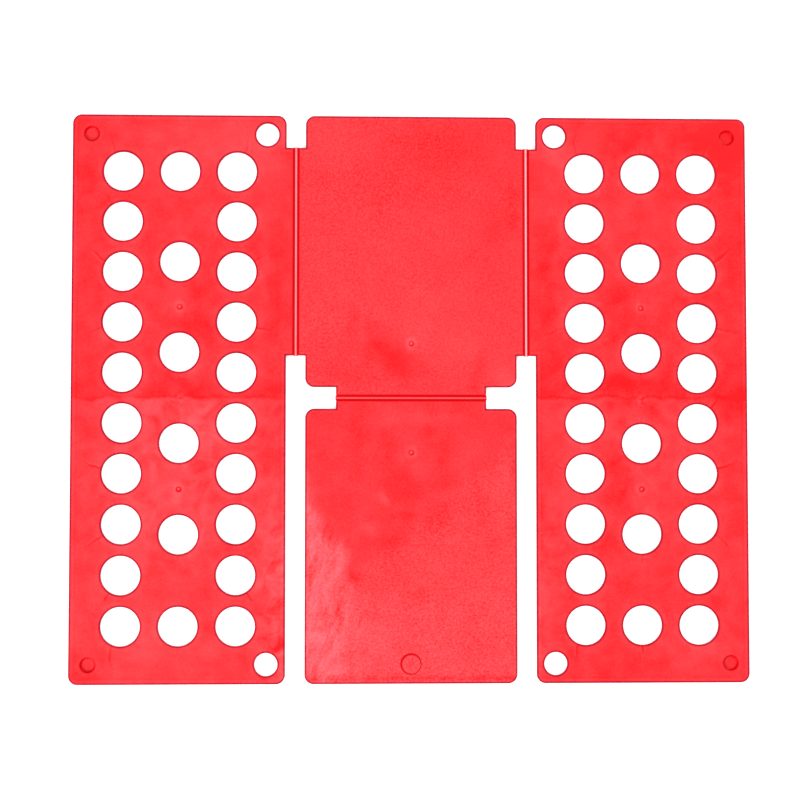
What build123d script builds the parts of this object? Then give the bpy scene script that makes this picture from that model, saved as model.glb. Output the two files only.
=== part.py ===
"""Shirt folding board: a flat polypropylene moulding of four panels joined by three living hinges.

The open board lies in the XY plane. X runs to the right, +Y towards the neck end and +Z up. The
origin is under the middle of the board, level with the undersides of the four corner studs.
All lengths are in millimetres.
"""
from build123d import *
import os

# Whole board, lying open
BOARD_WIDTH = 680.0            # X, over both side panels
BOARD_LENGTH = 570.0           # Y, neck end to hem end
SHEET = 2.0                    # thickness of every panel
STUD_DROP = 2.5                # how far the corner studs stand out below the panels

# Where the panels end
HINGE_SPACING = 232.0          # between the two side hinge lines
SIDE_GAP = 19.4                # open slot between a side panel and the centre panels
CENTRE_GAP = 21.6              # open notch between the two centre panels
BAND_WIDTH = 8.0               # width of each living hinge, across its line
SIDE_TAB_TOP = 252.5           # Y of the upper end of the side tabs and hinges
SIDE_TAB_LENGTH = 210.0
LOWER_TAB_LENGTH = 151.0       # X length of the tabs and hinge between the centre panels
CORNER_RADIUS = 9.0            # outer corners of every panel
NOTCH_RADIUS = 1.0             # inner corners where a tab meets its panel
EDGE_RADIUS = 0.6              # rounding of every outer top and bottom edge

# Large holes of the side panels: two columns of ten with a column of six between them
HOLE_DIAMETER = 39.0
HOLE_COLUMN_PITCH = 57.0
INNER_COLUMN = 59.2            # from the hinge line to the nearest column
HOLE_SPAN = 455.4              # first to last hole of a column
LONG_COLUMN_HOLES = 10
SHORT_COLUMN_HOLES = 6

# Corners of the side panels
CORNER_INSET_X = 19.0          # stud or hang hole, in from the panel's long edge
CORNER_INSET_Y = 19.5          # stud or hang hole, in from the panel's end
HANG_HOLE_DIAMETER = 23.0
HANG_HOLE_EDGE_RADIUS = 0.25
STUD_DIAMETER = 18.0
STUD_FOOT_DIAMETER = 16.4
STUD_CUP_DIAMETER = 15.0       # mouth of the cup in the top of a stud
STUD_CUP_FLOOR_DIAMETER = 12.4
STUD_CUP_DEPTH = 3.0
STUD_MOUTH_RADIUS = 0.4
STUD_FLOOR_RADIUS = 0.8
STUD_FOOT_RADIUS = 0.5

# Round blank near the hem end of the lower panel
BLANK_DIAMETER = 19.6
BLANK_RISE = 0.2
BLANK_GROOVE = 0.4             # chamfer on both sides of the line around the blank

# Section of a living hinge
WEB_THICKNESS = 0.4
WEB_WIDTH = 2.0
BAND_FLAT = 0.15               # full-thickness strip that is left at each edge of the band
NUB_WIDTH = 4.0
NUB_LENGTH = 0.5               # how far the web's moulded ends stand out past the tabs

# Sprue marks
GATE_DIAMETER = 4.0
GATE_DEPTH = 0.45
GATE_NUB_DIAMETER = 1.4
GATE_NUB_TIP_DIAMETER = 0.7
GATE_NUB_HEIGHT = 0.4
GATE_NUB_ROOT = 0.05           # how far the nub is sunk into the dish
SIDE_GATE_X = 116.4            # from the hinge line
SIDE_GATE_Y = 91.3
CENTRE_GATE_Y = 54.8

# Worked out from the driving dimensions
HALF_WIDTH = BOARD_WIDTH / 2
HALF_LENGTH = BOARD_LENGTH / 2
HINGE_X = HINGE_SPACING / 2
BAND_HALF = BAND_WIDTH / 2
SIDE_INNER_X = HINGE_X + SIDE_GAP / 2
CENTRE_EDGE_X = HINGE_X - SIDE_GAP / 2
SIDE_TAB_BOTTOM = SIDE_TAB_TOP - SIDE_TAB_LENGTH
SIDE_TAB_MID = SIDE_TAB_TOP - SIDE_TAB_LENGTH / 2
UNDERSIDE = STUD_DROP
TOPSIDE = STUD_DROP + SHEET
STUD_X = HALF_WIDTH - CORNER_INSET_X
HANG_HOLE_X = SIDE_INNER_X + CORNER_INSET_X
CORNER_Y = HALF_LENGTH - CORNER_INSET_Y
BLANK_Y = -CORNER_Y
TOUCH = 1e-3                   # tolerance for finding edges by their place


def rounded_plate(x_min, x_max, y_min, y_max):
    """Face of a rectangular panel with rounded outer corners."""
    middle = Pos((x_min + x_max) / 2, (y_min + y_max) / 2)
    return middle * RectangleRounded(x_max - x_min, y_max - y_min, CORNER_RADIUS)


def rectangle_between(x_min, x_max, y_min, y_max):
    """Face of a plain rectangle, given by its sides."""
    middle = Pos((x_min + x_max) / 2, (y_min + y_max) / 2)
    return middle * Rectangle(x_max - x_min, y_max - y_min)


def round_notches(face, corners):
    """Round the inner corners where tabs meet a panel."""
    picked = [v for v in face.vertices() if any((v.center() - c).length < TOUCH for c in corners)]
    return fillet(picked, NOTCH_RADIUS)


def raise_panel(face, mating_sides):
    """Thicken a panel face and round its edges, except where it joins a living hinge.

    mating_sides lists (axis, value) pairs: the straight sides that meet a hinge band.
    """
    panel = Pos(0, 0, UNDERSIDE) * extrude(face, SHEET)

    def joins_a_hinge(edge):
        middle = edge @ 0.5
        return any(abs(getattr(middle, axis) - value) < TOUCH for axis, value in mating_sides)

    rims = panel.edges().filter_by(Plane.XY)
    return fillet([edge for edge in rims if not joins_a_hinge(edge)], EDGE_RADIUS)


def column(x, count):
    """Evenly spaced hole centres along one column of a side panel."""
    pitch = HOLE_SPAN / (count - 1)
    return [(x, HOLE_SPAN / 2 - pitch * row) for row in range(count)]


def side_hole_centres(side):
    """Centres of the 26 large holes; side is -1 on the left and 1 on the right."""
    inner = HINGE_X + INNER_COLUMN
    centres = column(side * inner, LONG_COLUMN_HOLES)
    centres += column(side * (inner + HOLE_COLUMN_PITCH), SHORT_COLUMN_HOLES)
    centres += column(side * (inner + 2 * HOLE_COLUMN_PITCH), LONG_COLUMN_HOLES)
    return centres


def through_hole(x, y, diameter):
    """Cylinder that cuts a plain hole through a panel."""
    return Pos(x, y, UNDERSIDE + SHEET / 2) * Cylinder(diameter / 2, 2 * SHEET)


def sprue_mark(x, y):
    """Return the shallow dish to cut from a panel's top and the nub that stands in it."""
    dish_radius = GATE_DIAMETER / 2
    ball_radius = (dish_radius**2 + GATE_DEPTH**2) / (2 * GATE_DEPTH)
    dish = Pos(x, y, TOPSIDE - GATE_DEPTH + ball_radius) * Sphere(ball_radius)
    nub = Cone(GATE_NUB_DIAMETER / 2, GATE_NUB_TIP_DIAMETER / 2, GATE_NUB_HEIGHT)
    nub_middle = TOPSIDE - GATE_DEPTH - GATE_NUB_ROOT + GATE_NUB_HEIGHT / 2
    return dish, Pos(x, y, nub_middle) * nub


def add_sprue_marks(panel, places):
    """Mark a panel where the plastic entered the mould."""
    for x, y in places:
        dish, nub = sprue_mark(x, y)
        panel = panel - dish + nub
    return panel


def side_panel(side):
    """Perforated side panel with its tab, hang holes and the seats of its two studs."""
    inner, outer = sorted((side * SIDE_INNER_X, side * HALF_WIDTH), key=abs)
    face = rounded_plate(min(inner, outer), max(inner, outer), -HALF_LENGTH, HALF_LENGTH)
    tab_end = side * (HINGE_X + BAND_HALF)
    tab_root = side * (SIDE_INNER_X + CORNER_RADIUS)
    face += rectangle_between(
        min(tab_end, tab_root), max(tab_end, tab_root), SIDE_TAB_BOTTOM, SIDE_TAB_TOP
    )
    face = round_notches(face, [Vector(inner, SIDE_TAB_BOTTOM), Vector(inner, SIDE_TAB_TOP)])
    for centre in side_hole_centres(side):
        face -= Pos(*centre) * Circle(HOLE_DIAMETER / 2)
    panel = raise_panel(face, [("X", tab_end)])
    for y in (CORNER_Y, -CORNER_Y):
        panel -= through_hole(side * HANG_HOLE_X, y, HANG_HOLE_DIAMETER)
        rims = [
            edge
            for edge in panel.edges().filter_by(GeomType.CIRCLE)
            if abs(edge.radius - HANG_HOLE_DIAMETER / 2) < TOUCH
            and abs(edge.arc_center.Y - y) < TOUCH
        ]
        panel = panel.fillet(HANG_HOLE_EDGE_RADIUS, rims)
        panel -= through_hole(side * STUD_X, y, STUD_DIAMETER)
    gate_x = side * (HINGE_X + SIDE_GATE_X)
    return add_sprue_marks(panel, [(gate_x, SIDE_GATE_Y), (gate_x, -SIDE_GATE_Y)])


def upper_centre_panel():
    """Fixed panel at the neck end, with a tab for each of the three hinges."""
    bottom = CENTRE_GAP / 2
    tab_half = LOWER_TAB_LENGTH / 2
    face = rounded_plate(-CENTRE_EDGE_X, CENTRE_EDGE_X, bottom, HALF_LENGTH)
    side_tab_end = HINGE_X - BAND_HALF
    face += rectangle_between(-side_tab_end, side_tab_end, SIDE_TAB_BOTTOM, SIDE_TAB_TOP)
    face += rectangle_between(-tab_half, tab_half, BAND_HALF, bottom + CORNER_RADIUS)
    corners = [Vector(side * tab_half, bottom) for side in (-1, 1)]
    for side in (-1, 1):
        corners += [Vector(side * CENTRE_EDGE_X, y) for y in (SIDE_TAB_BOTTOM, SIDE_TAB_TOP)]
    face = round_notches(face, corners)
    panel = raise_panel(face, [("X", side_tab_end), ("X", -side_tab_end), ("Y", BAND_HALF)])
    return add_sprue_marks(panel, [(0, CENTRE_GATE_Y)])


def lower_centre_panel():
    """Panel at the hem end, with one tab and the hole that the blank fills."""
    top = -CENTRE_GAP / 2
    tab_half = LOWER_TAB_LENGTH / 2
    face = rounded_plate(-CENTRE_EDGE_X, CENTRE_EDGE_X, -HALF_LENGTH, top)
    face += rectangle_between(-tab_half, tab_half, top - CORNER_RADIUS, -BAND_HALF)
    face = round_notches(face, [Vector(side * tab_half, top) for side in (-1, 1)])
    panel = raise_panel(face, [("Y", -BAND_HALF)])
    panel -= through_hole(0, BLANK_Y, BLANK_DIAMETER)
    groove_cone = Cone(BLANK_DIAMETER / 2, BLANK_DIAMETER / 2 + BLANK_GROOVE, BLANK_GROOVE)
    panel -= Pos(0, BLANK_Y, TOPSIDE - BLANK_GROOVE / 2) * groove_cone
    return add_sprue_marks(panel, [(0, -CENTRE_GATE_Y)])


def hang_hole_blank():
    """Disc that closes the unused hang hole of the lower panel, a hair proud of its top."""
    height = SHEET + BLANK_RISE
    disc = Pos(0, BLANK_Y, UNDERSIDE + height / 2) * Cylinder(BLANK_DIAMETER / 2, height)
    return chamfer(disc.edges().group_by(Axis.Z)[-1], BLANK_GROOVE)


def hinge_section():
    """Section of a living hinge across its line: X across, Y up from the panel's underside."""
    half_web = WEB_WIDTH / 2
    groove = (SHEET - WEB_THICKNESS) / 2
    roll_start = BAND_HALF - BAND_FLAT
    section = Pos(0, SHEET / 2) * Rectangle(BAND_WIDTH, SHEET)
    for mouth, sign in ((SHEET, 1), (0, -1)):
        base = mouth - sign * groove
        cut = Pos(0, mouth) * Rectangle(2 * roll_start, 2 * groove)
        for side in (-1, 1):
            cut -= Pos(side * roll_start, base) * Ellipse(roll_start - half_web, groove)
        section -= cut
    return section


def living_hinge(length):
    """Hinge band along +Y, centred on its line, with the moulded nubs at its ends."""
    section = hinge_section()
    core = section & Pos(0, SHEET / 2) * Rectangle(NUB_WIDTH, SHEET)
    band = extrude(Plane.XZ * section, length / 2, both=True)
    return band + extrude(Plane.XZ * core, length / 2 + NUB_LENGTH, both=True)


def side_hinge(side):
    """Living hinge between the upper centre panel and a side panel."""
    return Pos(side * HINGE_X, SIDE_TAB_MID, UNDERSIDE) * living_hinge(SIDE_TAB_LENGTH)


def lower_hinge():
    """Living hinge between the two centre panels."""
    return Pos(0, 0, UNDERSIDE) * Rot(0, 0, 90) * living_hinge(LOWER_TAB_LENGTH)


def corner_stud(x, y):
    """Hollow stud moulded into a side panel's corner, open at the top and closed below."""
    top, floor = TOPSIDE, TOPSIDE - STUD_CUP_DEPTH
    outline = Polyline(
        (0, floor),
        (STUD_CUP_FLOOR_DIAMETER / 2, floor),
        (STUD_CUP_DIAMETER / 2, top),
        (STUD_DIAMETER / 2, top),
        (STUD_DIAMETER / 2, UNDERSIDE),
        (STUD_FOOT_DIAMETER / 2, 0),
        (0, 0),
        close=True,
    )
    profile = make_face(outline)
    for corner, radius in (
        ((STUD_CUP_FLOOR_DIAMETER / 2, floor), STUD_FLOOR_RADIUS),
        ((STUD_CUP_DIAMETER / 2, top), STUD_MOUTH_RADIUS),
        ((STUD_FOOT_DIAMETER / 2, 0), STUD_FOOT_RADIUS),
    ):
        profile = fillet(profile.vertices().sort_by_distance(corner)[0], radius)
    return Pos(x, y) * revolve(Plane.XZ * profile, Axis.Z)


def build():
    """Return every solid of the board by its node name."""
    parts = {
        "upper_centre_panel": upper_centre_panel(),
        "lower_centre_panel": lower_centre_panel(),
        "lower_living_hinge": lower_hinge(),
        "hang_hole_blank": hang_hole_blank(),
    }
    for name, side in (("left", -1), ("right", 1)):
        parts[f"{name}_side_panel"] = side_panel(side)
        parts[f"{name}_living_hinge"] = side_hinge(side)
        for end, y in (("upper", CORNER_Y), ("lower", -CORNER_Y)):
            parts[f"{name}_{end}_corner_stud"] = corner_stud(side * STUD_X, y)
    return parts


os.makedirs("parts", exist_ok=True)
for node, solid in build().items():
    export_step(solid, f"parts/{node}.step")
    print(node, round(solid.volume, 1))
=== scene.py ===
"""Looks of the shirt folding board: one red polypropylene moulding lying open on a white table.

Objects are in metres, in the row frame. The patterns on the plastic (mould grain, weld lines, flow
marks, scuffs, and painted shade, sheen and glow) are worked out in millimetres from the position on
the part.
"""
import math

import bmesh
import bpy
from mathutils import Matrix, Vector


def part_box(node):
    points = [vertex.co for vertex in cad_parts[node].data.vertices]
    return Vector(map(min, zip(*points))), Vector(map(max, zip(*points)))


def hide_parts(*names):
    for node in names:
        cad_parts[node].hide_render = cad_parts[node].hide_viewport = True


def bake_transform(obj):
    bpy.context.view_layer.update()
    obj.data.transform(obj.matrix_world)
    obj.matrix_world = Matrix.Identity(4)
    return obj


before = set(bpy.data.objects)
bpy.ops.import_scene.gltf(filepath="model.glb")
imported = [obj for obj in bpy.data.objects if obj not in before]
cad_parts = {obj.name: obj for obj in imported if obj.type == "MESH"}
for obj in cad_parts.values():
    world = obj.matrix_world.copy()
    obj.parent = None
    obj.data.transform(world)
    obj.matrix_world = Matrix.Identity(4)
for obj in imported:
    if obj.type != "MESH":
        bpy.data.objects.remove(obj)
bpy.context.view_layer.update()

MM = 0.001
SIDES = {"left": -1, "right": 1}


def millimetres(place):
    """A corner or middle of a node's box, in millimetres and to the nearest tenth."""
    return [round(part / MM, 1) for part in place]


def middle_of(node):
    low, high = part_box(node)
    return millimetres((low + high) / 2)


# Layout of the moulding, in millimetres. Y is 0 on the middle hinge line, and the panels are the
# same on both sides of it.
HALF_WIDTH, HALF_LENGTH, _ = millimetres(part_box("right_side_panel")[1])
HINGE_X = middle_of("right_living_hinge")[0]
STUD_X, CORNER_Y, _ = middle_of("right_upper_corner_stud")
BLANK_Y = middle_of("hang_hole_blank")[1]
SIDE_GAP, CENTRE_GAP = 9.7, 10.8       # from a hinge line to the panels beside it
SIDE_TAB = (42.5, 252.5)               # Y range of the tabs at the side hinges
LOWER_TAB = (-75.5, 75.5)              # X range of the tabs at the middle hinge
PAST_HINGE, INTO_PANEL = 30.0, 40.0    # a tab's rectangle runs far enough to have no ends
CORNER_RADIUS = 9.0
HANG_HOLE_RADIUS = 11.5

# Large holes of a side panel, with counts for half its length
HOLE_RADIUS = 19.5
MIDDLE_COLUMN = 116.2                  # from the hinge line
COLUMN_PITCH = 57.0
OUTER_FIRST_HOLE, OUTER_HOLE_PITCH, OUTER_HOLES = 25.3, 50.6, 5
MIDDLE_FIRST_HOLE, MIDDLE_HOLE_PITCH, MIDDLE_HOLES = 45.54, 91.08, 3

# Moulded rings, and the painted shade lines round them
SIDE_GATE_Y = 91.3
CENTRE_GATE_Y = 54.8
GATE_RADIUS = 2.0
STUD_LINE_RADIUS = 7.1                 # painted shade line round a stud's cup
BLANK_LINE_RADIUS = 9.9                # painted shade in the groove round the blank
GATE_LINE_REACH = 1.05                 # smaller makes the painted shade line round a sprue mark darker
NO_RING = 5                            # added where a surface has no ring

# Colours of the plastic, linear. The edge, ring, cup and groove reds are painted shade.
DEEP_RED = (0.496, 0.0035, 0.0057, 1)
HAZY_RED = (0.56, 0.0735, 0.0885, 1)
EDGE_SHADE_RED = (0.23, 0.0003, 0.011, 1)
RING_SHADE_RED = (0.39, 0.0003, 0.004, 1)
CUP_SHADE_RED = (0.48, 0.0003, 0.004, 1)
GROOVE_SHADE_RED = (0.36, 0.0003, 0.002, 1)
HAZE_LEAST, HAZE_FULL = -0.144, 2.2    # the haze of DEEP_RED and of HAZY_RED


# ---------------------------------------------------------------- camera, floor and light

def add_camera():
    """Camera above the board, where the whole of it fills the picture as it lies open."""
    camera = bpy.data.objects.new("camera", bpy.data.cameras.new("camera"))
    bpy.context.scene.collection.objects.link(camera)
    camera.data.sensor_width = 36.0
    camera.data.lens = 67.164
    camera.location = (-0.0576, -0.0634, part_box("upper_centre_panel")[1].z + 1.4961)
    camera.rotation_mode = "ZYX"
    camera.rotation_euler = (math.radians(2.3507), math.radians(-1.7727), math.radians(0.0919))
    bpy.context.scene.camera = camera


def add_floor():
    """Large white table top, a hair under the studs."""
    size, height = 6.0, -0.0001
    mesh = bpy.data.meshes.new("floor")
    corners = [(-size, -size), (size, -size), (size, size), (-size, size)]
    mesh.from_pydata([(x, y, height) for x, y in corners], [], [(0, 1, 2, 3)])
    floor = bpy.data.objects.new("floor", mesh)
    bpy.context.scene.collection.objects.link(floor)
    material = bpy.data.materials.new("white_table")
    material.use_nodes = True
    shader = material.node_tree.nodes["Principled BSDF"]
    shader.inputs["Base Color"].default_value = (0.50, 0.50, 0.50, 1)
    shader.inputs["Roughness"].default_value = 0.8
    shader.inputs["Emission Color"].default_value = (1, 1, 1, 1)
    shader.inputs["Emission Strength"].default_value = 0.65
    mesh.materials.append(material)


def add_softbox(name, place, size, watts):
    """Square area light that points at the middle of the board."""
    light = bpy.data.lights.new(name, "AREA")
    light.size = size
    light.energy = watts
    softbox = bpy.data.objects.new(name, light)
    bpy.context.scene.collection.objects.link(softbox)
    softbox.location = place
    softbox.rotation_mode = "QUATERNION"
    softbox.rotation_quaternion = (-Vector(place)).to_track_quat("-Z", "Y")


def add_lights():
    """Pale room with a soft key light from the lower left and a weaker one from the upper right."""
    add_softbox("key_light", (-1.5, -1.6, 1.7), 1.4, 120)
    add_softbox("fill_light", (1.6, 1.4, 1.7), 1.4, 72)
    world = bpy.data.worlds.new("room")
    world.use_nodes = True
    background = world.node_tree.nodes["Background"]
    background.inputs["Color"].default_value = (1, 1, 1, 1)
    background.inputs["Strength"].default_value = 0.8
    bpy.context.scene.world = world
    bpy.context.scene.view_settings.view_transform = "Standard"


# ---------------------------------------------------------------- node trees

class Term:
    """One number that varies over a surface: the output of a node, with ordinary arithmetic."""

    def __init__(self, skin, socket):
        self.skin = skin
        self.socket = socket

    def __add__(self, other):
        return self.skin.math("ADD", self, other)

    def __sub__(self, other):
        return self.skin.math("SUBTRACT", self, other)

    def __rsub__(self, other):
        return self.skin.math("SUBTRACT", other, self)

    def __mul__(self, other):
        return self.skin.math("MULTIPLY", self, other)

    def __truediv__(self, other):
        return self.skin.math("DIVIDE", self, other)

    def __abs__(self):
        return self.skin.math("ABSOLUTE", self)

    __radd__ = __add__

    def at_least(self, other):
        return self.skin.math("MAXIMUM", self, other)

    def at_most(self, other):
        return self.skin.math("MINIMUM", self, other)

    def nearest(self, first, pitch, count):
        """The nearest of count evenly spaced numbers that start at first."""
        steps = self.skin.math("ROUND", (self - first) / pitch)
        return steps.at_least(0).at_most(count - 1) * pitch + first

    def rise(self, low, high):
        """0 at low, 1 at high and a soft step between them. Low may be the larger."""
        node = self.skin.add("ShaderNodeMapRange", interpolation_type="SMOOTHSTEP")
        self.skin.feed(node.inputs["Value"], self)
        node.inputs["From Min"].default_value = low
        node.inputs["From Max"].default_value = high
        return Term(self.skin, node.outputs["Result"])

    def hump(self, centre, width):
        """1 at centre, with soft flanks that reach out about 1.5 widths."""
        offset = (self - centre) / width
        return self.skin.math("EXPONENT", offset * offset * -1)


class Skin:
    """A material whose shader is fed from the position on the part, in millimetres."""

    def __init__(self, name, rest_attribute=None):
        self.material = bpy.data.materials.new(name)
        self.material.use_nodes = True
        self.nodes = self.material.node_tree.nodes
        self.nodes.clear()
        self.shader = self.add("ShaderNodeBsdfPrincipled")
        output = self.add("ShaderNodeOutputMaterial")
        self.link(self.shader.outputs["BSDF"], output.inputs["Surface"])
        coordinates = self.add("ShaderNodeTexCoord")
        scale = self.add("ShaderNodeVectorMath", operation="SCALE")
        scale.inputs["Scale"].default_value = 1 / MM
        if rest_attribute:
            rest = self.add("ShaderNodeAttribute", attribute_name=rest_attribute)
            self.link(rest.outputs["Vector"], scale.inputs[0])
        else:
            self.link(coordinates.outputs["Object"], scale.inputs[0])
        self.place = scale.outputs["Vector"]
        self.x, self.y, self.z = self.split(self.place)
        self.facing_up = self.split(coordinates.outputs["Normal"])[2]

    def add(self, kind, **settings):
        node = self.nodes.new(kind)
        for key, value in settings.items():
            setattr(node, key, value)
        return node

    def link(self, output, socket):
        self.material.node_tree.links.new(output, socket)

    def feed(self, socket, value):
        if isinstance(value, Term):
            self.link(value.socket, socket)
        else:
            socket.default_value = value

    def split(self, vector):
        node = self.add("ShaderNodeSeparateXYZ")
        self.link(vector, node.inputs["Vector"])
        return [Term(self, output) for output in node.outputs]

    def math(self, operation, *values):
        node = self.add("ShaderNodeMath", operation=operation)
        for socket, value in zip(node.inputs, values):
            self.feed(socket, value)
        return Term(self, node.outputs["Value"])

    def root(self, *values):
        """Length of a vector with these parts."""
        total = values[0] * values[0]
        for value in values[1:]:
            total = total + value * value
        return self.math("SQRT", total)

    def distance(self, x, y, stretch=1.0, turn=0.0):
        """Distance from a place on the board; stretch and turn (degrees) make it an oval."""
        dx, dy = self.x - x, self.y - y
        if turn or stretch != 1.0:
            cosine, sine = math.cos(math.radians(turn)), math.sin(math.radians(turn))
            dx, dy = (dx * cosine + dy * sine) / stretch, dy * cosine - dx * sine
        return self.root(dx, dy)

    def noise(self, size, detail=2.0, stretch=1.0, turn=0.0, seed=0, distortion=0.0):
        """Smooth noise, mostly from -1 to 1, with features about size mm across and
        stretched along the direction turn (degrees)."""
        mapping = self.add("ShaderNodeMapping", vector_type="TEXTURE")
        mapping.inputs["Location"].default_value = (seed * 37.0 * size, seed * 11.0 * size, 0)
        mapping.inputs["Rotation"].default_value = (0, 0, math.radians(turn))
        mapping.inputs["Scale"].default_value = (size * stretch, size, size)
        self.link(self.place, mapping.inputs["Vector"])
        node = self.add("ShaderNodeTexNoise")
        node.inputs["Scale"].default_value = 1.0
        node.inputs["Detail"].default_value = detail
        node.inputs["Distortion"].default_value = distortion
        self.link(mapping.outputs["Vector"], node.inputs["Vector"])
        return (Term(self, node.outputs[0]) - 0.5) * 4

    def mix(self, share, first, second):
        """Colour between first (share 0) and second (share 1); each is a colour or an output."""
        node = self.add("ShaderNodeMix", data_type="RGBA")
        self.feed(node.inputs[0], share)
        for socket, colour in ((node.inputs[6], first), (node.inputs[7], second)):
            if isinstance(colour, tuple):
                socket.default_value = colour
            else:
                self.link(colour, socket)
        return node.outputs[2]

    def bump(self, height):
        """Tilt the normals by a height in millimetres."""
        node = self.add("ShaderNodeBump")
        node.inputs["Distance"].default_value = MM
        self.feed(node.inputs["Height"], height)
        self.link(node.outputs["Normal"], self.shader.inputs["Normal"])


# ---------------------------------------------------------------- patterns of the moulded plastic

def inset(skin, x, y, x_range, y_range, radius=0.0):
    """Distance in from the edge of a rectangle with rounded corners; negative outside it."""
    beyond = []
    for place, (low, high) in ((x, x_range), (y, y_range)):
        beyond.append(abs(place - (low + high) / 2) - ((high - low) / 2 - radius))
    corner = skin.root(beyond[0].at_least(0), beyond[1].at_least(0))
    return radius - corner - beyond[0].at_least(beyond[1]).at_most(0)


def pools(skin, ripple, places):
    """Soft oval patches of haze, each (x, y, stretch, turn, width, haze in its middle)."""
    total = 0.0
    for x, y, stretch, turn, width, haze in places:
        total = total + (skin.distance(x, y, stretch, turn) + ripple).hump(0, width) * haze
    return total


def gate_marks(skin, places, blush, seed):
    """Haze where the plastic entered the mould: a mottled blush and the ring of the sprue mark."""
    mottle = skin.noise(7, detail=3, seed=seed)
    on_top = skin.z.rise(2.8, 3.6)
    haze = 0.0
    for x, y in places:
        near = skin.distance(x, y)
        haze = haze + near.hump(0, 17) * (mottle * 0.5 + 0.8) * blush
        haze = haze + near.hump(4.6, 2.2) * (mottle * 0.6 + 0.75) * (blush + 0.20)
        haze = haze + near.hump(0, 1.1) * 2.6 * on_top
    return haze


def gate_rings(skin, places, reach=GATE_LINE_REACH):
    """Distance from the nearest sprue mark's rim, which only the top has, for the painted shade
    line round it. That painted shade is darker on its lower right than on its upper left."""
    rings = None
    for x, y in places:
        lower_right = (skin.x - x) - (skin.y - y)
        ring = abs(skin.distance(x, y) - GATE_RADIUS) + reach - lower_right * 0.08
        rings = rings.at_most(ring) if rings else ring
    return rings + skin.z.rise(3.6, 2.8) * NO_RING


def nearest_holes(along):
    """Places along half a side panel of the nearest hole in an outer and in the middle column."""
    outer = along.nearest(OUTER_FIRST_HOLE, OUTER_HOLE_PITCH, OUTER_HOLES)
    return outer, along.nearest(MIDDLE_FIRST_HOLE, MIDDLE_HOLE_PITCH, MIDDLE_HOLES)


def weld_lines(skin, across, along):
    """Thin streaks where the plastic closed up again behind the holes of a side panel.

    across and along are measured from the middle of the panel, and both halves mirror.
    """
    across, along = abs(across), abs(along)
    outer = across.rise(COLUMN_PITCH / 2 - 0.5, COLUMN_PITCH / 2 + 0.5)
    outer_along, middle_along = nearest_holes(along)
    hole_across = outer * COLUMN_PITCH
    hole_along = middle_along + (outer_along - middle_along) * outer
    flow_across, flow_along = hole_across, hole_along - SIDE_GATE_Y
    flow_length = skin.root(flow_across, flow_along)
    flow_across, flow_along = flow_across / flow_length, flow_along / flow_length
    from_across, from_along = across - hole_across, along - hole_along
    behind = from_across * flow_across + from_along * flow_along - HOLE_RADIUS
    aside = from_across * flow_along - from_along * flow_across
    bent = behind * behind * flow_along * 0.014
    aside = aside + bent + skin.noise(13, detail=3, seed=3) * behind * 0.22
    varied = (skin.noise(42, detail=1, seed=8) * 1.1 + 0.5).at_least(0)
    streak = aside.hump(2.4, 1.2) * 0.16 - aside.hump(0, 0.95) * 0.50
    return streak * behind.rise(-1, 1) * behind.rise(30, 4) * varied


# Soft oval patches of haze: (x, y, stretch, turn, width, haze in the middle). These
# are the ones that only the left (-1) or only the right (1) side panel has.
SIDE_POOLS = {
    -1: [
        (-195, 260, 1.8, 0, 30, 0.48),
        (-126, 270, 1.2, 0, 16, 0.60),
        (-150, 235, 1.3, 90, 18, 0.19),
        (-332, 272, 1.2, 0, 18, -0.07),
        (-223, 22, 1.2, 60, 9, 0.52),
        (-193, -22, 1.6, 30, 10, 0.48),
        (-322, -70, 2.0, 90, 18, 0.26),
        (-274, -150, 1.2, 0, 16, 0.42),
        (-205, -142, 1.5, 90, 14, 0.29),
        (-130, -172, 2.0, 35, 11, 0.51),
        (-262, -240, 1.2, 90, 18, 0.45),
        (-332, -238, 1.4, 90, 11, 0.32),
        (-138, -244, 2.2, -50, 13, -0.32),
        (-150, -86, 2.6, 0, 12, 0.34),
        (-192, -48, 1.4, 40, 14, 0.20),
        (-291, -72, 3.4, 90, 9, 0.42),
        (-214, -82, 1.6, 0, 13, -0.14),
        (-145, 182, 1.4, 90, 11, 0.30),
        (-153, -188, 1.3, 20, 9, 0.36),
        (-203, -250, 1.2, 60, 12, 0.30),
        (-126, -272, 1.3, -40, 10, -0.34),
        (-330, -278, 1.6, -20, 11, -0.28),
    ],
    1: [
        (322, 264, 1.6, 0, 40, -0.51),
        (325, 160, 2.2, 90, 34, -0.19),
        (143, 252, 2.0, -40, 12, 0.51),
        (205, 165, 1.2, 90, 18, 0.19),
        (200, 98, 1.8, -30, 14, -0.22),
        (135, 30, 1.2, 0, 14, -0.29),
        (328, -8, 1.4, 0, 20, -0.35),
        (210, -100, 1.4, 90, 17, -0.35),
        (170, -135, 1.6, 80, 12, 0.26),
        (134, -205, 2.4, 90, 11, 0.29),
        (300, -248, 1.8, 0, 18, 0.27),
        (328, 38, 1.3, 0, 16, -0.24),
        (230, -12, 1.8, 0, 12, -0.22),
        (168, -104, 1.6, 90, 22, 0.28),
        (278, -268, 1.5, 0, 13, 0.26),
        (222, 264, 1.2, 90, 17, -0.26),
        (276, 206, 1.6, 90, 10, -0.28),
        (197, -272, 1.5, 80, 11, -0.26),
    ],
}


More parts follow.
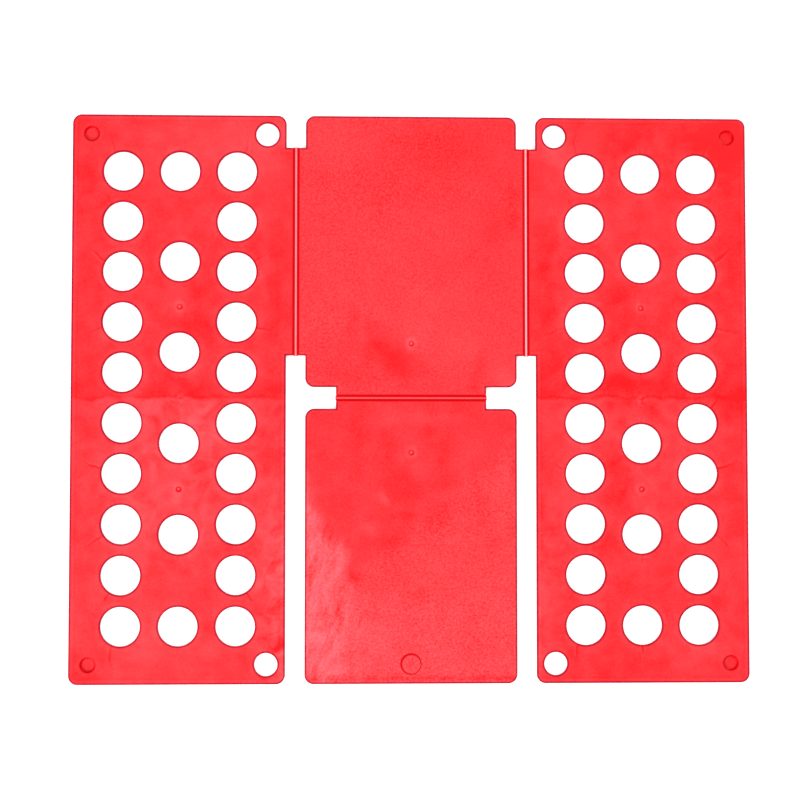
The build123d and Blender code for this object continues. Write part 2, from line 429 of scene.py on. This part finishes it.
def side_panel_pattern(skin, side):
    """Haze of a side panel, and distances from its nearest edge and nearest moulded ring."""
    out = skin.x * side - HINGE_X
    across = out - MIDDLE_COLUMN
    gate_x = side * (HINGE_X + MIDDLE_COLUMN)
    # The left panel faces the key light: lit strengthens its haze with painted sheen and darkens
    # the painted shade round its lower sprue mark.
    lit = 1.0 if side < 0 else 0.45
    haze = skin.noise(60, detail=3, seed=5 + side) * 0.15
    haze = haze + skin.noise(15, detail=4, seed=7 + side) * 0.17
    haze = haze + skin.noise(2.0, detail=2, seed=2) * 0.14 + (0.21 + 0.04 * lit)

    meeting = skin.y + skin.noise(26, detail=3, seed=11 + side) * 4.0
    uneven = (skin.noise(34, detail=3, seed=14 + side) * 0.8 + 0.75).at_least(0)
    below = meeting.rise(2.0, -4.0) * skin.y.rise(-240, -10) * (across.hump(-8, 62) * 0.9 + 0.35)
    blots = skin.noise(24, detail=3, distortion=1.2, seed=17 + side)
    haze = haze + below * (uneven * 0.30 + blots * 0.48) * lit
    haze = haze - meeting.hump(10, 14) * uneven * 0.22 - meeting.hump(0.8, 1.5) * uneven * 0.24
    haze = haze + meeting.hump(-3.0, 1.8) * uneven * 0.08
    knot = skin.distance(gate_x, -1)
    haze = haze + knot.hump(0, 7) * (skin.noise(4, detail=2, seed=4) * 0.6 + 0.25)

    gates = [(gate_x, SIDE_GATE_Y), (gate_x, -SIDE_GATE_Y)]
    haze = haze + gate_marks(skin, gates, 0.12 + 0.12 * lit, 13 + side)
    ripple = skin.noise(13, detail=4, seed=27) * 5
    haze = haze + pools(skin, ripple, [
        (gate_x - 12 * side, SIDE_GATE_Y - 22, 1.6, 25 * side, 17, -0.26),
        (gate_x - 18 * side, SIDE_GATE_Y + 14, 2.2, 40, 9, -0.20),
        (gate_x - 12 * side, 30 - SIDE_GATE_Y, 1.6, 25 * side, 17, -0.20),
        (gate_x - 40 * side, -145, 1.7, 0, 9, -0.20),
        (gate_x - 34 * side, -232, 1.8, 35, 9, -0.20),
    ])
    haze = haze + pools(skin, ripple, [
        (gate_x, -92, 1.3, 90, 30, 0.20),
        (gate_x - 15 * side, -22, 1.4, 90, 14, 0.22),
        (gate_x - 6 * side, -165, 1.4, 20, 13, 0.14),
        (gate_x + 40 * side, -140, 1.4, 60, 16, 0.08),
    ]) * lit
    haze = haze + pools(skin, ripple, SIDE_POOLS[side]) + weld_lines(skin, across, skin.y)

    inner_strip = out.rise(52, 12) * skin.y.rise(-60, -150)
    blotches = skin.noise(17, detail=4, distortion=1.0, seed=24 + side)
    haze = haze + inner_strip * (blotches * 0.95 + 0.38) * lit
    stain_at = out - skin.noise(36, detail=3, seed=21 + side) * 9
    stained = skin.y.rise(30, 70) * skin.y.rise(205, 150)
    haze = haze - (stain_at.hump(20, 8) * 0.20 - stain_at.hump(33, 3.5) * 0.10) * stained

    ends = (-HALF_LENGTH, HALF_LENGTH)
    outline = inset(skin, out, skin.y, (SIDE_GAP, HALF_WIDTH - HINGE_X), ends, CORNER_RADIUS)
    tab = inset(skin, out, skin.y, (-PAST_HINGE, INTO_PANEL), SIDE_TAB)
    outer_along, middle_along = nearest_holes(abs(skin.y))
    holes = skin.root(abs(across) - COLUMN_PITCH, abs(skin.y) - outer_along)
    holes = holes.at_most(skin.root(across, abs(skin.y) - middle_along)) - HOLE_RADIUS
    # Painted glow: the flat round each hole is lighter, unevenly.
    glow = (skin.noise(11, detail=2, seed=28) * 0.8 + 0.4).at_least(0)
    haze = haze + holes.hump(4.5, 3.5) * glow * 0.22
    corner_inset = HALF_WIDTH - STUD_X
    hang_holes = skin.root(out - SIDE_GAP - corner_inset, abs(skin.y) - CORNER_Y) - HANG_HOLE_RADIUS
    # Painted shade: a dark line round each stud's cup, which the bottom of a stud doesn't have.
    studs = abs(skin.root(skin.x * side - STUD_X, abs(skin.y) - CORNER_Y) - STUD_LINE_RADIUS) + 0.7
    studs = studs + skin.z.rise(1.2, 0.4) * NO_RING
    edge_line = outline.at_least(tab)
    haze = haze + edge_line.hump(2.8, 2.0) * 0.06 - edge_line.hump(5.4, 0.8) * 0.12
    rim = edge_line.at_most(holes).at_most(hang_holes)
    upper_ring = gate_rings(skin, gates[:1])
    lower_ring = gate_rings(skin, gates[1:], GATE_LINE_REACH - 0.30 * lit)
    return haze, rim, studs.at_most(upper_ring).at_most(lower_ring)


def centre_outline(skin, far_end, tabs):
    """Distance in from the outline of a centre panel, which ends at y = far_end, and its tabs."""
    half_width = HINGE_X - SIDE_GAP
    y_range = sorted((math.copysign(CENTRE_GAP, far_end), far_end))
    outline = inset(skin, skin.x, skin.y, (-half_width, half_width), y_range, CORNER_RADIUS)
    for x_range, y_range in tabs:
        outline = outline.at_least(inset(skin, skin.x, skin.y, x_range, y_range))
    return outline


def upper_panel_pattern(skin):
    """Haze of the upper centre panel, with fine grain and a dark pool beside its gate, and
    distances from its nearest edge and moulded ring."""
    haze = skin.noise(90, detail=2, seed=31) * 0.07 + skin.noise(24, detail=3, seed=32) * 0.07
    frosted = skin.noise(45, detail=2, seed=36) * 0.12 + skin.x.rise(80, -60) * 0.14 + 0.28
    wet = skin.distance(-22, 44, stretch=1.7, turn=-40).hump(0, 20)
    frosted = frosted.at_least(0.05) * (1.0 - wet * 0.8)
    haze = haze + skin.noise(2.0, detail=2, seed=33) * frosted + 0.31
    haze = haze + skin.y.rise(270, 60) * 0.10 + skin.x.rise(90, -70) * 0.06
    gates = [(0, CENTRE_GATE_Y)]
    haze = haze + gate_marks(skin, gates, 0.22, 34)
    haze = haze + pools(skin, skin.noise(13, detail=4, seed=35) * 5, [
        (-18, 41, 1.7, -32, 18, -0.56),
        (-40, 62, 1.8, -62, 10, -0.14),
        (-59, 79, 2.2, 85, 8, -0.18),
        (-82, 41, 1.6, 20, 22, -0.14),
        (69, 32, 2.8, 70, 7, -0.30),
        (35, 252, 2.2, 0, 24, -0.18),
        (84, 170, 2.8, 90, 15, -0.12),
        (29, 120, 1.3, 0, 11, -0.12),
        (22, 90, 1.5, 30, 22, 0.12),
        (52, 50, 1.4, 0, 17, 0.16),
        (89, 25, 1.2, 0, 9, 0.22),
        (-80, 254, 1.2, 0, 24, 0.22),
        (-52, 20, 2.2, 0, 12, -0.20),
        (94, 15, 1.2, 0, 8, 0.20),
        (104, 190, 4.0, 90, 7, -0.26),
        (5, 108, 1.5, 0, 14, 0.10),
    ])
    past_hinges = HINGE_X + PAST_HINGE
    tabs = [((-past_hinges, past_hinges), SIDE_TAB), (LOWER_TAB, (-PAST_HINGE, INTO_PANEL))]
    rim = centre_outline(skin, HALF_LENGTH, tabs)
    haze = haze + rim.hump(2.4, 1.5) * 0.04 - rim.hump(4.4, 0.8) * 0.10
    return haze, rim, gate_rings(skin, gates)


def lower_panel_pattern(skin):
    """Haze of the lower centre panel, with flow fronts round its gate and a scuffed corner,
    and distances from its nearest edge and moulded ring."""
    wander = skin.noise(32, detail=4, seed=41) * 9
    scuff_front = (skin.x + 106) * -0.87 + (skin.y + 90) * -0.49 + wander
    right_front = (skin.x - 5) * 0.64 - (skin.y + 127) * 0.77 + wander
    bottom_front = wander - skin.y - 188
    far = scuff_front.rise(-6, 12).at_least(bottom_front.rise(-14, 18))
    far = far.at_least(right_front.rise(-14, 14) * 0.72)
    haze = skin.noise(60, detail=2, seed=42) * 0.08 + skin.noise(15, detail=4, seed=43) * 0.12
    haze = haze + skin.noise(12, detail=3, stretch=3, turn=86, seed=49) * 0.05
    haze = haze + far * 0.42 + 0.26 + skin.noise(2.0, detail=2, seed=44) * (far * 0.42 + 0.18)
    gates = [(0, -CENTRE_GATE_Y)]
    haze = haze + gate_marks(skin, gates, 0.16, 45)
    haze = haze + pools(skin, skin.noise(12, detail=4, seed=48) * 4, [
        (-9, -86, 1.7, -50, 13, -0.20),
        (-21, -55, 2.4, 80, 8, -0.13),
        (17, -37, 1.6, -30, 9, -0.17),
        (31, -62, 2.0, -75, 8, -0.15),
        (28, -86, 1.5, 10, 9, -0.10),
        (-56, -45, 2.8, 86, 10, -0.10),
        (-6, -118, 4.5, 0, 4.5, -0.16),
        (72, -112, 2.6, 95, 11, -0.26),
        (84, -140, 1.4, 60, 8, -0.12),
        (-20, -160, 2.2, 78, 15, -0.16),
        (6, -199, 2.6, -8, 8, -0.20),
        (-42, -182, 1.8, -30, 9, -0.16),
        (64, -232, 1.8, 35, 12, -0.10),
        (70, -252, 2.0, -10, 9, -0.10),
        (-38, -242, 1.3, 0, 15, 0.30),
        (-100, -256, 1.2, 0, 9, 0.34),
        (-102, -92, 2.2, 90, 6, 0.32),
        (-80, -282, 2.5, 0, 8, -0.60),
        (10, -20, 4.0, 0, 7, 0.24),
        (105, -62, 3.0, 90, 6, -0.34),
        (28, -122, 3.6, 47, 10, -0.26),
        (-22, -20, 1.4, 60, 9, 0.18),
        (9, -74, 1.6, -45, 9, 0.20),
        (62, -50, 1.5, 80, 15, 0.16),
        (-42, -130, 1.5, -20, 8, 0.34),
        (-27, -104, 2.2, -65, 3.5, 0.45),
    ])
    scuffed = scuff_front.rise(-10, 6) * skin.x.rise(-32, -84)
    strands = skin.noise(6, detail=3, stretch=3.4, turn=68, seed=46, distortion=1.4) * 0.55
    patches = skin.noise(20, detail=4, stretch=2.2, turn=80, seed=47, distortion=1.0) * 0.95
    haze = haze + scuffed * (strands + patches + 0.62)
    haze = haze + pools(skin, skin.noise(7, detail=4, seed=50) * 3, [
        (-79, -143, 2.4, -65, 4.5, -0.55),
        (-90, -188, 2.8, 84, 4, -0.75),
        (-71, -224, 3.0, 84, 4, -0.75),
        (-80, -248, 2.0, 80, 4.5, -0.45),
        (-62, -176, 2.8, -55, 4.5, -0.35),
        (-97, -206, 2.2, 88, 6, 0.38),
        (-90, -262, 1.4, 0, 9, 0.45),
        (-70, -158, 2.4, -60, 5, 0.36),
        (-98, -120, 2.4, 70, 6, 0.26),
    ])
    rim = centre_outline(skin, -HALF_LENGTH, [(LOWER_TAB, (-INTO_PANEL, PAST_HINGE))])
    haze = haze + rim.hump(2.4, 1.5) * 0.04 - rim.hump(4.4, 0.8) * 0.10
    haze = haze - skin.y.hump(-280, 3.5) * (skin.noise(15, detail=3, seed=55) * 0.20 + 0.36)
    # Painted shade in the groove round the blank, darker on its upper left than on its lower right.
    lower_right = (skin.x - skin.y + BLANK_Y) / 14
    blank_ring = abs(skin.distance(0, BLANK_Y) - BLANK_LINE_RADIUS) + lower_right * 0.4 + 0.85
    return haze, rim, blank_ring.at_most(gate_rings(skin, gates))


LINE = (2.15, 1.35)                    # a painted shade line fades in between these distances


def finish_plastic(skin, haze, rim, ring):
    """Feed the shader of satin polypropylene from its haze and the distances from its nearest rim
    and ring: painted shade darkens the edges, the walls that face sideways and the rings, and a
    faint painted sheen lightens the flat beside them."""
    grain = skin.noise(0.55, detail=3, seed=51)
    line = rim.at_most(ring)
    # Painted sheen: a faint lighter band on the flat beside each edge and ring.
    haze = haze + line.hump(3.6, 1.2) * 0.08
    clarity = (haze - HAZE_LEAST).at_least(0) / (HAZE_FULL - HAZE_LEAST)
    flat = skin.mix(clarity, DEEP_RED, HAZY_RED)
    # Painted shade on edges, walls and rings, made patchy along them.
    uneven_shade = (skin.noise(9, detail=3, seed=52) * 0.20 + 0.88).at_most(1).at_least(0)
    # Painted shade where a surface turns to face sideways, above the bottoms of the studs.
    rounded = abs(skin.facing_up).rise(0.99, 0.72) * skin.z.rise(1.7, 2.4)
    edge = (rounded.at_least(rim.rise(*LINE)) * uneven_shade).at_least(ring.rise(*LINE))
    # Painted shade colour of the rings, lighter on the walls down inside a stud's cup.
    ring_shade_colour = skin.mix(skin.z.rise(4.1, 3.7), RING_SHADE_RED, CUP_SHADE_RED)
    edge_shade_colour = skin.mix(ring.rise(4, 6), ring_shade_colour, EDGE_SHADE_RED)
    skin.link(skin.mix(edge, flat, edge_shade_colour), skin.shader.inputs["Base Color"])
    skin.feed(skin.shader.inputs["Roughness"], haze * 0.10 + grain * 0.02 + 0.36)
    skin.shader.inputs["Specular IOR Level"].default_value = 0.1
    skin.bump(grain * 0.006 + skin.noise(30, detail=1, seed=53) * 0.03)


def plastic_material(name, pattern, *facts):
    skin = Skin(name)
    finish_plastic(skin, *pattern(skin, *facts))
    return skin.material


def paint_panels():
    """Give every panel its own plastic, which its studs or blank share."""
    painted = {
        "upper_centre_panel": plastic_material("upper_panel_plastic", upper_panel_pattern),
        "lower_centre_panel": plastic_material("lower_panel_plastic", lower_panel_pattern),
    }
    painted["hang_hole_blank"] = painted["lower_centre_panel"]
    for name, side in SIDES.items():
        plastic = plastic_material(f"{name}_panel_plastic", side_panel_pattern, side)
        for node in ("side_panel", "upper_corner_stud", "lower_corner_stud"):
            painted[f"{name}_{node}"] = plastic
    for node, material in painted.items():
        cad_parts[node].material_slots[0].material = material


# ---------------------------------------------------------------- living hinges

# Section of a band, in millimetres from its middle
BAND_HALF = 4.0
BEND_HALF = 2.5                        # a wider bend would push the fold's roll into the next panel
ROLL_START = 3.85                      # where the full-thickness lip starts to roll down
WEB_HALF = 1.0
WEB_HALF_THICKNESS = 0.2
LIP_HALF_THICKNESS = 1.0
ROLL_STEPS = 11

# Ends of a band: a narrow nub goes on past its straight end
NUB_HALF = 2.0
NUB_LENGTH = 0.5
END_ROUNDING = 0.5


def hinge_columns():
    """(offset across the band, half thickness there) from one edge of the band to the other."""
    half = [(WEB_HALF * step / 4, WEB_HALF_THICKNESS) for step in range(4)]
    rise = LIP_HALF_THICKNESS - WEB_HALF_THICKNESS
    for step in range(ROLL_STEPS + 1):
        angle = math.pi / 2 * step / ROLL_STEPS
        offset = ROLL_START - (ROLL_START - WEB_HALF) * math.cos(angle)
        half.append((offset, WEB_HALF_THICKNESS + rise * math.sin(angle)))
    half.append((BAND_HALF, LIP_HALF_THICKNESS))
    return [(-offset, thick) for offset, thick in reversed(half[1:])] + half


def hinge_rows(length):
    """Places along the band: close together at its ends, where the edges are rounded."""
    end = length / 2
    near_end = [end + NUB_LENGTH * (1 - share) for share in (0, 0.1, 0.35, 1)]
    near_end += [end - END_ROUNDING * share for share in (0.1, 0.35, 1)]
    near_end.sort(reverse=True)
    middle = [end * (1 - step / 8) for step in range(1, 8)]
    half = near_end + middle
    return [-place for place in half] + [0.0] + half[::-1]


def rounded_thickness(thick, from_end):
    """Half thickness at a distance in from a rounded end."""
    radius = min(END_ROUNDING, 0.8 * thick)
    if from_end >= radius:
        return thick
    return thick - radius + math.sqrt(radius**2 - (radius - max(from_end, 0)) ** 2)


def hinge_mesh(name, length, place_of):
    """Closed mesh of a hinge band. place_of turns (across, along, up) in mm into a point in m."""
    columns, rows = hinge_columns(), hinge_rows(length)
    mesh = bmesh.new()
    across_layer = mesh.verts.layers.float.new("across")
    rest_layer = mesh.verts.layers.float_vector.new("rest_place")
    grid = {}

    def corner(i, j, up):
        if (i, j, up) not in grid:
            across, thick = columns[i]
            in_nub = abs(across) < NUB_HALF
            end = length / 2 + (NUB_LENGTH if in_nub else 0)
            thick = rounded_thickness(thick, end - abs(rows[j]))
            vertex = mesh.verts.new(place_of(across, rows[j], up * thick))
            vertex[across_layer] = across
            vertex[rest_layer] = vertex.co
            grid[i, j, up] = vertex
        return grid[i, j, up]

    def is_solid(i, j):
        if not (0 <= i < len(columns) - 1 and 0 <= j < len(rows) - 1):
            return False
        middle = (rows[j] + rows[j + 1]) / 2
        outermost = max(abs(columns[i][0]), abs(columns[i + 1][0]))
        return abs(middle) < length / 2 or outermost < NUB_HALF

    for i in range(len(columns) - 1):
        for j in range(len(rows) - 1):
            if not is_solid(i, j):
                continue
            ring = [(i, j), (i + 1, j), (i + 1, j + 1), (i, j + 1)]
            mesh.faces.new([corner(*c, 1) for c in ring])
            mesh.faces.new([corner(*c, -1) for c in reversed(ring)])
            neighbours = [(i, j - 1), (i + 1, j), (i, j + 1), (i - 1, j)]
            for start, stop, beyond in zip(ring, ring[1:] + ring[:1], neighbours):
                if not is_solid(*beyond):
                    mesh.faces.new(
                        [corner(*stop, 1), corner(*start, 1), corner(*start, -1), corner(*stop, -1)]
                    )
    bmesh.ops.recalc_face_normals(mesh, faces=mesh.faces)
    data = bpy.data.meshes.new(name)
    mesh.to_mesh(data)
    mesh.free()
    data.shade_smooth()
    data.set_sharp_from_angle(angle=math.radians(50))
    return data


def hinge_material(name, web_glow_colour):
    """Plastic of a hinge band: a web painted pale as a glow of light shining through it, between
    two rolled-down lips with painted shade.
    """
    skin = Skin(name, rest_attribute="rest_place")
    attribute = skin.add("ShaderNodeAttribute", attribute_name="across")
    across = abs(Term(skin, attribute.outputs["Fac"]))
    haze = skin.noise(30, detail=2, seed=61) * 0.06 + 0.19
    haze = haze + skin.noise(1.3, detail=2, seed=62) * 0.05
    lip = skin.mix(haze.at_least(0), DEEP_RED, HAZY_RED)
    # Painted shade where the lips roll down into the groove.
    lip = skin.mix(across.rise(3.8, 3.2), lip, GROOVE_SHADE_RED)
    # Painted glow of light shining through the thin web, uneven along it.
    uneven_glow = skin.noise(6, detail=2, stretch=1.5, seed=63) * 0.08
    painted_glow = across.rise(1.05, 0.75) * (uneven_glow + 0.92)
    skin.link(skin.mix(painted_glow, lip, web_glow_colour), skin.shader.inputs["Base Color"])
    skin.feed(skin.shader.inputs["Roughness"], skin.noise(2, detail=2, seed=64) * 0.04 + 0.36)
    skin.shader.inputs["Specular IOR Level"].default_value = 0.03
    skin.bump(skin.noise(0.6, detail=2, seed=65) * 0.006)
    return skin.material


def add_hinge(name, flap, web_glow_colour):
    """Replace a CAD hinge by a band between the centre and a flap."""
    low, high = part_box(name)
    middle = (low + high) / 2
    runs_along_y = high.y - low.y > high.x - low.x
    length = max(high - low) / MM - 2 * NUB_LENGTH
    if runs_along_y:
        outward = Vector((math.copysign(1, middle.x), 0, 0))
        along_direction = Vector((0, 1, 0))
    else:
        outward = Vector((0, -1, 0))
        along_direction = Vector((1, 0, 0))

    def place_of(across, along, up):
        return middle + (outward * across + along_direction * along + Vector((0, 0, up))) * MM

    band = bpy.data.objects.new(f"{name}_band", hinge_mesh(f"{name}_band", length, place_of))
    bpy.context.scene.collection.objects.link(band)
    band.data.materials.append(hinge_material(f"{name}_plastic", web_glow_colour))
    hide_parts(name)
    # A flap that folds about -X or -Y would turn its band inside out, so the ends of that band are
    # listed the other way round, from the flap to the centre.
    half = outward * BEND_HALF * MM
    ends = [("centre", middle - half), (flap, middle + half)]
    if outward.cross(Vector((0, 0, 1))).dot(along_direction) < 0:
        ends.reverse()
    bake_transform(band)


add_camera()
add_floor()
add_lights()
paint_panels()
# The pale web colours are painted glow of light shining through each thin web.
add_hinge("left_living_hinge", "left_flap", (0.66, 0.14, 0.16, 1))
add_hinge("right_living_hinge", "right_flap", (0.70, 0.24, 0.27, 1))
add_hinge("lower_living_hinge", "lower_flap", (0.62, 0.050, 0.056, 1))
